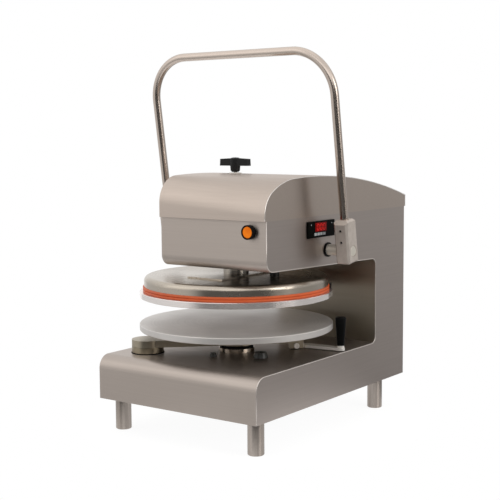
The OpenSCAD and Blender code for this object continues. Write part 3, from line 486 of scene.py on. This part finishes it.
def arcPoints(cy, cz, r, start, end, steps, x):
    turn = [math.radians(start + (end - start) * i / steps) for i in range(steps + 1)]
    return [at(x, cy + r * math.cos(a), cz + r * math.sin(a)) for a in turn]


# bends of the right side: base front, throat and head front, with the rise of the head's underside
sheetEdges = {"bend": 30, "bendSteps": 12, "throat": 16, "throatSteps": 10, "headBend": 25, "headSteps": 10,
              "rake": 11}


def makeSheetEdges(cfg):
    low, high = cornersOf("side_panel_right")
    baseTop = cornersOf("base_cover")[1].z
    headFront, headLow = cornersOf("head_pan")[0].yz
    throat, bend, headBend = cfg["throat"], cfg["bend"], cfg["headBend"]
    throatY = cornersOf("column_front")[0].y - throat
    slope = cfg["rake"] / (throatY - headFront)
    tilt = math.atan(slope)
    noseY = headFront + headBend
    noseZ = headLow + slope * (throatY - noseY) + headBend / math.cos(tilt)
    d, x = bead["inset"], high.x - bead["sunk"]
    run = [at(x, low.y + d, low.z + d)]
    run += arcPoints(low.y + bend, baseTop - bend, bend - d, 180, 90, cfg["bendSteps"], x)
    run += arcPoints(throatY, baseTop + throat, throat + d, 270, 360, cfg["throatSteps"], x)
    run += arcPoints(throatY, headLow - throat, throat + d, 0, 90, cfg["throatSteps"], x)
    run += arcPoints(noseY, noseZ, headBend - d, 270 - math.degrees(tilt), 180, cfg["headSteps"], x)
    run += [at(x, headFront + d, high.z - d)]
    bm = bmesh.new()
    drawBead(bm, run, bead)
    finishPiece("sidePanelEdge", bm, "edge", "base")


# right end of the hood: three tangent arcs, each ending at an angle from upright
hoodEnd = {"top": 593.5, "nose": 60, "noseEnd": 30, "noseSteps": 14, "brow": 190, "browEnd": 3,
           "browSteps": 12, "arch": 1500, "archSteps": 24}


def makeHoodEdge(cfg):
    low, high = cornersOf("hood")
    nose, brow, arch = cfg["nose"], cfg["brow"], cfg["arch"]
    noseTurn, browTurn = 90 + cfg["noseEnd"], 90 + cfg["browEnd"]
    turnN, turnB = math.radians(cfg["noseEnd"]), math.radians(cfg["browEnd"])
    noseY = low.y + nose
    noseZ = cfg["top"] - arch - (nose - brow) * math.cos(turnN) - (brow - arch) * math.cos(turnB)
    browY, browZ = noseY + (brow - nose) * math.sin(turnN), noseZ - (brow - nose) * math.cos(turnN)
    archY, archZ = browY + (arch - brow) * math.sin(turnB), browZ - (arch - brow) * math.cos(turnB)
    d, x = bead["inset"], high.x - bead["sunk"]
    rearTurn = math.degrees(math.acos((high.y - d - archY) / (arch - d)))
    run = [at(x, low.y + d, low.z + d)]
    run += arcPoints(noseY, noseZ, nose - d, 180, noseTurn, cfg["noseSteps"], x)
    run += arcPoints(browY, browZ, brow - d, noseTurn, browTurn, cfg["browSteps"], x)
    run += arcPoints(archY, archZ, arch - d, browTurn, rearTurn, cfg["archSteps"], x)
    run += [at(x, high.y - d, low.z + d)]
    bm = bmesh.new()
    drawBead(bm, run, bead)
    finishPiece("hoodEdge", bm, "paintedHighlightEdge", "base")


makeSheetEdges(sheetEdges)
makeHoodEdge(hoodEnd)
print("sheet edges rolled")


# three plain numerals in the red window, each a string of lit bars
display = {"proud": 0.15, "pitch": 12.5, "width": 7.6, "height": 13.0, "bar": 1.7, "thick": 0.5, "round": 0.2,
           "shown": ["abcdef", "abcdef", "abcdef"]}


def makeDigits(cfg):
    low, high = cornersOf("display_window")
    middle = (low + high) / 2
    x = high.x + cfg["proud"]
    w, h, b = cfg["width"] / 2, cfg["height"] / 2, cfg["bar"]
    across = (cfg["thick"], cfg["width"] - b, b)
    upright = (cfg["thick"], b, h - b)
    bars = {"a": (0, h, across), "d": (0, -h, across), "g": (0, 0, across), "f": (-w, h / 2, upright),
            "e": (-w, -h / 2, upright), "b": (w, h / 2, upright), "c": (w, -h / 2, upright)}
    bm = bmesh.new()
    for i, lit in enumerate(cfg["shown"]):
        y = middle.y + (i - (len(cfg["shown"]) - 1) / 2) * cfg["pitch"]
        for mark in lit:
            dy, dz, size = bars[mark]
            bevelBox(bm, size, at(x, y + dy, middle.z + dz), cfg["round"], segments=2)
    finishPiece("displayDigits", bm, "digit", "base", smooth=False)


# small round lamps in the upper corners of the bezel, dome as shares of height and radius
pilots = {"fromEnd": 12.0, "fromTop": 7.5, "sunk": 0.1, "radius": 1.5, "height": 0.8, "steps": 20,
          "dome": [(0, 1), (0.4, 1), (0.75, 0.75), (1, 0.35), (1, 0)]}


def makePilots(cfg):
    low, high = cornersOf("controller_bezel")
    x, z = high.x - cfg["sunk"], high.z - cfg["fromTop"]
    bm = bmesh.new()
    for y in (low.y + cfg["fromEnd"], high.y - cfg["fromEnd"]):
        profile = [at(x + cfg["height"] * out, y, z + cfg["radius"] * r) for out, r in cfg["dome"]]
        roundProfile(bm, profile, at(x, y, z), (1, 0, 0), cfg["steps"])
    finishPiece("bezelPilots", bm, "key", "base")


# turned washer under the thickness knob
knobWasher = {"centre": (0, 0), "inner": 5.2, "outer": 15.0, "low": 595.6, "high": 598.0, "round": 0.8,
              "steps": 48}
# dark thrust ring round the foot of the hub
thrustRing = {"centre": (0, 0), "inner": 24.0, "outer": 40.0, "low": 184.8, "high": 189.5, "round": 1.2,
              "groove": 1.0, "steps": 64}
# rubber gasket round the foot of the pivot post, its black line partly painted contact shadow under the post
postGasketShadowRing = {"centre": (-157, -140), "inner": 37.6, "outer": 38.9, "low": 177.1, "high": 179.1, "round": 0.6,
              "steps": 64}
ringFlat = 0.3  # how far the middle of the rounding is cut back, as a share of it


def makeRing(name, cfg, look):
    inner, outer, low, high = cfg["inner"], cfg["outer"], cfg["low"], cfg["high"]
    edge, cut = cfg["round"], cfg["round"] * ringFlat
    profile = [(inner, low), (inner, high), (outer - edge, high), (outer - cut, high - cut)]
    profile += [(outer, high - edge)]
    if "groove" in cfg:
        groove, middle = cfg["groove"], (low + high) / 2
        profile += [(outer, middle + groove / 2), (outer - groove, middle), (outer, middle - groove / 2)]
    profile += [(outer, low), (inner, low)]
    x, y = cfg["centre"]
    bm = bmesh.new()
    roundProfile(bm, [at(x + r, y, z) for r, z in profile], at(x, y, 0), (0, 0, 1), cfg["steps"])
    finishPiece(name, bm, look, "base")


# spring clip that holds the ends of the seal together
sealClip = {"radius": 222.6, "angle": 36.0, "low": 323.2, "high": 337.0, "long": 17.0, "deep": 4.6,
            "round": 1.1}


def makeSealClip(cfg):
    tall = cfg["high"] - cfg["low"]
    bm = bmesh.new()
    bevelBox(bm, (cfg["deep"], cfg["long"], tall), at(cfg["radius"], 0, cfg["low"] + tall / 2), cfg["round"],
             segments=3)
    turn = Matrix.Rotation(math.radians(cfg["angle"]), 3, "Z")
    bmesh.ops.rotate(bm, verts=bm.verts[:], cent=at(0, 0, 0), matrix=turn)
    finishPiece("sealClip", bm, "blackSteel", "ram_head", smooth=False)


# pan-head screws of the rear panel: two rows up the column, three pairs along the base
panelScrews = {"radius": 4.4, "height": 2.4, "sunk": 0.2, "recess": 1.0, "recessFloor": 0.4, "steps": 20,
               "crown": [(1, 0.35), (0.85, 0.7), (0.5, 1)],
               "columnX": (-50, 212), "columnZ": (230, 350, 470), "baseX": (-212, 0, 212), "baseZ": (92, 162)}


def makePanelScrews(cfg):
    rearY = cornersOf("rear_panel")[1].y
    radius, height, recess = cfg["radius"], cfg["height"], cfg["recess"]
    floor = height * cfg["recessFloor"]
    profile = [(radius, -cfg["sunk"])] + [(radius * r, height * out) for r, out in cfg["crown"]]
    profile += [(recess, height), (recess, floor), (0, floor)]
    spots = [(x, z) for x in cfg["columnX"] for z in cfg["columnZ"]]
    spots += [(x, z) for x in cfg["baseX"] for z in cfg["baseZ"]]
    bm = bmesh.new()
    for x, z in spots:
        points = [at(x + r, rearY + out, z) for r, out in profile]
        roundProfile(bm, points, at(x, rearY, z), (0, 1, 0), cfg["steps"])
    finishPiece("rearScrews", bm, "tail", "base")


makeDigits(display)
makePilots(pilots)
makeRing("knobWasher", knobWasher, "tail")
makeRing("thrustRing", thrustRing, "rubber")
makeRing("postGasketShadowRing", postGasketShadowRing, "rubber")
makeSealClip(sealClip)
makePanelScrews(panelScrews)
print("small pieces made")


# round white table that keeps the shadow, seen as part of a white room
room = {"floorColor": (0.86, 0.86, 0.86), "floorLift": 0.82, "floorGlow": 1.12, "fill": 0.60,
        "tableRadius": 0.42, "tableShift": 0.066, "tableSides": 96}
white = (1.0, 1.0, 1.0)


def backgroundRays(tree):
    path = addNode(tree, "ShaderNodeLightPath")
    seen = mathNode(tree, "MAXIMUM", path.outputs["Is Camera Ray"], path.outputs["Is Glossy Ray"])
    return mathNode(tree, "MAXIMUM", seen, path.outputs["Is Transmission Ray"])


def makeFloor(cfg):
    bm = bmesh.new()
    bmesh.ops.create_circle(bm, cap_ends=True, segments=cfg["tableSides"], radius=cfg["tableRadius"])
    bmesh.ops.translate(bm, verts=bm.verts[:], vec=(axisX, axisY + cfg["tableShift"], 0))
    floor = meshObject("floor", bm)
    mat, tree = newTree("paleFloor")
    out = addNode(tree, "ShaderNodeOutputMaterial")
    diffuse = addNode(tree, "ShaderNodeBsdfDiffuse")
    feed(tree, diffuse.inputs["Color"], cfg["floorColor"])
    glow = addNode(tree, "ShaderNodeEmission")
    feed(tree, glow.inputs["Color"], white)
    glow.inputs["Strength"].default_value = cfg["floorGlow"]
    mix = addNode(tree, "ShaderNodeMixShader")
    lift = mathNode(tree, "MULTIPLY", backgroundRays(tree), cfg["floorLift"])
    for socket, value in zip(mix.inputs, (lift, diffuse.outputs[0], glow.outputs[0])):
        feed(tree, socket, value)
    feed(tree, out.inputs[0], mix.outputs[0])
    floor.data.materials.append(mat)


def makeWorld(cfg):
    world = bpy.data.worlds.new("studio")
    world.use_nodes = True
    scene.world = world
    tree = world.node_tree
    tree.nodes.clear()
    out = addNode(tree, "ShaderNodeOutputWorld")
    shade = addNode(tree, "ShaderNodeBackground")
    feed(tree, shade.inputs["Color"], white)
    span = mathNode(tree, "MULTIPLY", backgroundRays(tree), 1.0 - cfg["fill"])
    feed(tree, shade.inputs["Strength"], mathNode(tree, "ADD", span, cfg["fill"]))
    feed(tree, out.inputs[0], shade.outputs[0])


# shade card round the press, as a photographer hangs it to shape bright metal: darkest behind the lens,
# with a bright strip over it
card = {"radius": 4.2, "height": 3.4, "from": -3.0, "middle": (0.81, -0.59), "arc": 330, "steps": 64,
        "level": 0.60, "slope": 0.16, "rise": 0.12, "side": (0.81, 0.59), "darkSide": (0.69, -0.72),
        "darkFrom": 0.42, "darkTo": 0.78, "least": 0.06, "most": 1.6,
        "stripFrom": 1.1, "stripTo": 1.7, "strip": 0.55}


def softStep(tree, value, start, end):
    step = addNode(tree, "ShaderNodeMapRange", interpolation_type="SMOOTHSTEP")
    step.inputs["From Min"].default_value = start
    step.inputs["From Max"].default_value = end
    feed(tree, step.inputs["Value"], value)
    return step.outputs[0]


def towards(tree, place, direction, amount):
    parts = [mathNode(tree, "MULTIPLY", place[i], amount * direction[i]) for i in range(2)]
    return mathNode(tree, "ADD", *parts)


def cardLight(cfg):
    mat, tree = newTree("shadeCard")
    split = addNode(tree, "ShaderNodeSeparateXYZ")
    feed(tree, split.inputs[0], objectCoords(tree))
    place = split.outputs
    level = towards(tree, place, cfg["side"], -cfg["slope"] / cfg["radius"])
    level = mathNode(tree, "ADD", level, mathNode(tree, "MULTIPLY", place[2], cfg["rise"]))
    level = mathNode(tree, "ADD", level, cfg["level"])
    behind = towards(tree, place, cfg["darkSide"], 1.0 / cfg["radius"])
    behind = softStep(tree, behind, cfg["darkFrom"], cfg["darkTo"])
    over = mathNode(tree, "MULTIPLY", behind, softStep(tree, place[2], cfg["stripFrom"], cfg["stripTo"]))
    shade = mathNode(tree, "SUBTRACT", behind, over)
    level = mathNode(tree, "MULTIPLY", level, mathNode(tree, "SUBTRACT", 1.0, shade))
    level = mathNode(tree, "ADD", level, mathNode(tree, "MULTIPLY", over, cfg["strip"]))
    level = mathNode(tree, "MINIMUM", mathNode(tree, "MAXIMUM", level, cfg["least"]), cfg["most"])
    glow = addNode(tree, "ShaderNodeEmission")
    feed(tree, glow.inputs["Strength"], level)
    out = addNode(tree, "ShaderNodeOutputMaterial")
    feed(tree, out.inputs[0], glow.outputs[0])
    return mat


def makeCard(cfg):
    arc = math.radians(cfg["arc"])
    first = math.atan2(cfg["middle"][1], cfg["middle"][0]) - arc / 2
    x = axisX + cfg["radius"] * math.cos(first)
    y = axisY + cfg["radius"] * math.sin(first)
    bm = bmesh.new()
    ends = [bm.verts.new((x, y, z)) for z in (cfg["from"], cfg["height"])]
    edge = bm.edges.new(ends)
    bmesh.ops.spin(bm, geom=[edge, *ends], cent=(axisX, axisY, 0), axis=(0, 0, 1), angle=arc,
                   steps=cfg["steps"], use_duplicate=False)
    obj = meshObject("shadeCard", bm)
    obj.visible_camera = False
    obj.visible_shadow = False
    obj.visible_diffuse = False
    obj.data.materials.append(cardLight(cfg))


softboxes = {
    "color": (1.0, 0.97, 0.93),
    "aimHeight": 0.35,
    "lamps": [
        {"name": "keySoftbox", "place": (-2.1, -2.6, 1.9), "size": 2.6, "power": 8.0},
        {"name": "topSoftbox", "place": (-0.6, -0.4, 3.0), "size": 3.0, "power": 7.0},
        {"name": "frontFill", "place": (1.8, -3.0, 1.4), "size": 1.6, "power": 3.0},
        {"name": "sideFill", "place": (3.2, 0.1, 1.3), "size": 1.6, "power": 24.0},
    ],
}


def makeLamps(cfg):
    target = Vector((axisX, axisY, cfg["aimHeight"]))
    for row in cfg["lamps"]:
        data = bpy.data.lights.new(row["name"], "AREA")
        data.size = row["size"]
        data.energy = row["power"]
        data.color = cfg["color"]
        lamp = bpy.data.objects.new(row["name"], data)
        scene.collection.objects.link(lamp)
        lamp.location = row["place"]
        aim = target - Vector(row["place"])
        lamp.rotation_euler = aim.to_track_quat("-Z", "Y").to_euler()


makeFloor(room)
makeWorld(room)
makeCard(card)
makeLamps(softboxes)
print("studio set")
